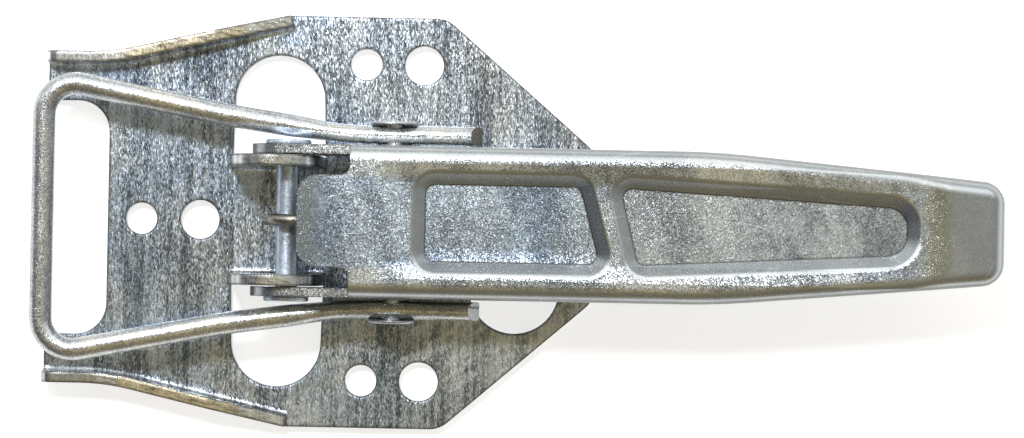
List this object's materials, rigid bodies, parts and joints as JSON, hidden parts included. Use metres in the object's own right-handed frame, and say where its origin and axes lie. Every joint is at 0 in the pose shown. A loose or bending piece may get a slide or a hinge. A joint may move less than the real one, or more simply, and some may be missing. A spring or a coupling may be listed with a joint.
{
  "type": "over centre toggle latch",
  "caption": "Pressed steel over centre toggle latch: long channel lever on a slotted, spring-held pivot, wire bail, and a forked base plate with folded flanges.",
  "frame": {"origin": "on the back face of the base plate, on the mid plane, straight behind the pivot pin's axis in the closed and unloaded latch", "axes": "+Z away from the surface the base is bolted to; +X along the closed lever to its tip, so the bail reaches out towards -X; +Y across, along the pivot pin"},
  "size_m": [0.2581, 0.1112, 0.0335],
  "materials": {
    "base_sheet": "bright zinc plate on rolled sheet, fine speckle, faint blue and gold tint",
    "lever_sheet": "bright zinc plate on pressed sheet, satin, glossy on the bends",
    "pin_steel": "zinc plate on turned steel",
    "bail_wire": "zinc plate on drawn wire",
    "rivet_steel": "zinc plate, darker on the struck heads",
    "spring_steel": "zinc plate on spring wire"
  },
  "bodies": {
    "base": {"base_plate": "base_sheet", "spring": "spring_steel"},
    "pin": {"pivot_pin": "pin_steel"},
    "lever": {"lever": "lever_sheet"},
    "rivets": {"bail_rivet_left": "rivet_steel", "bail_rivet_right": "rivet_steel"},
    "bail": {"bail": "bail_wire"}
  },
  "joints": [
    {"name": "pin_slide", "type": "slide", "parent": "base", "child": "pin", "axis": [-1, 0, 0], "range_m": [0, 0.0074], "stiffness_N_per_m": 67000, "springref_m": -0.0022, "deforming": ["spring"]},
    {"name": "lever_pivot", "type": "hinge", "parent": "pin", "child": "lever", "pos_m": [0, 0, 0.02], "axis": [0, -1, 0], "range_deg": [0, 150]},
    {"name": "rivet_turn", "type": "hinge", "parent": "lever", "child": "rivets", "pos_m": [0.0279, 0, 0.0165], "axis": [0, 1, 0], "range_deg": [0, 150]},
    {"name": "bail_swing", "type": "hinge", "parent": "rivets", "child": "bail", "pos_m": [0.0279, 0, 0.0165], "axis": [0, 1, 0], "range_deg": [-6.4, 16]}
  ],
  "couplings": [
    {"joint": "rivet_turn", "follows": "lever_pivot", "ratio": 1}
  ]
}
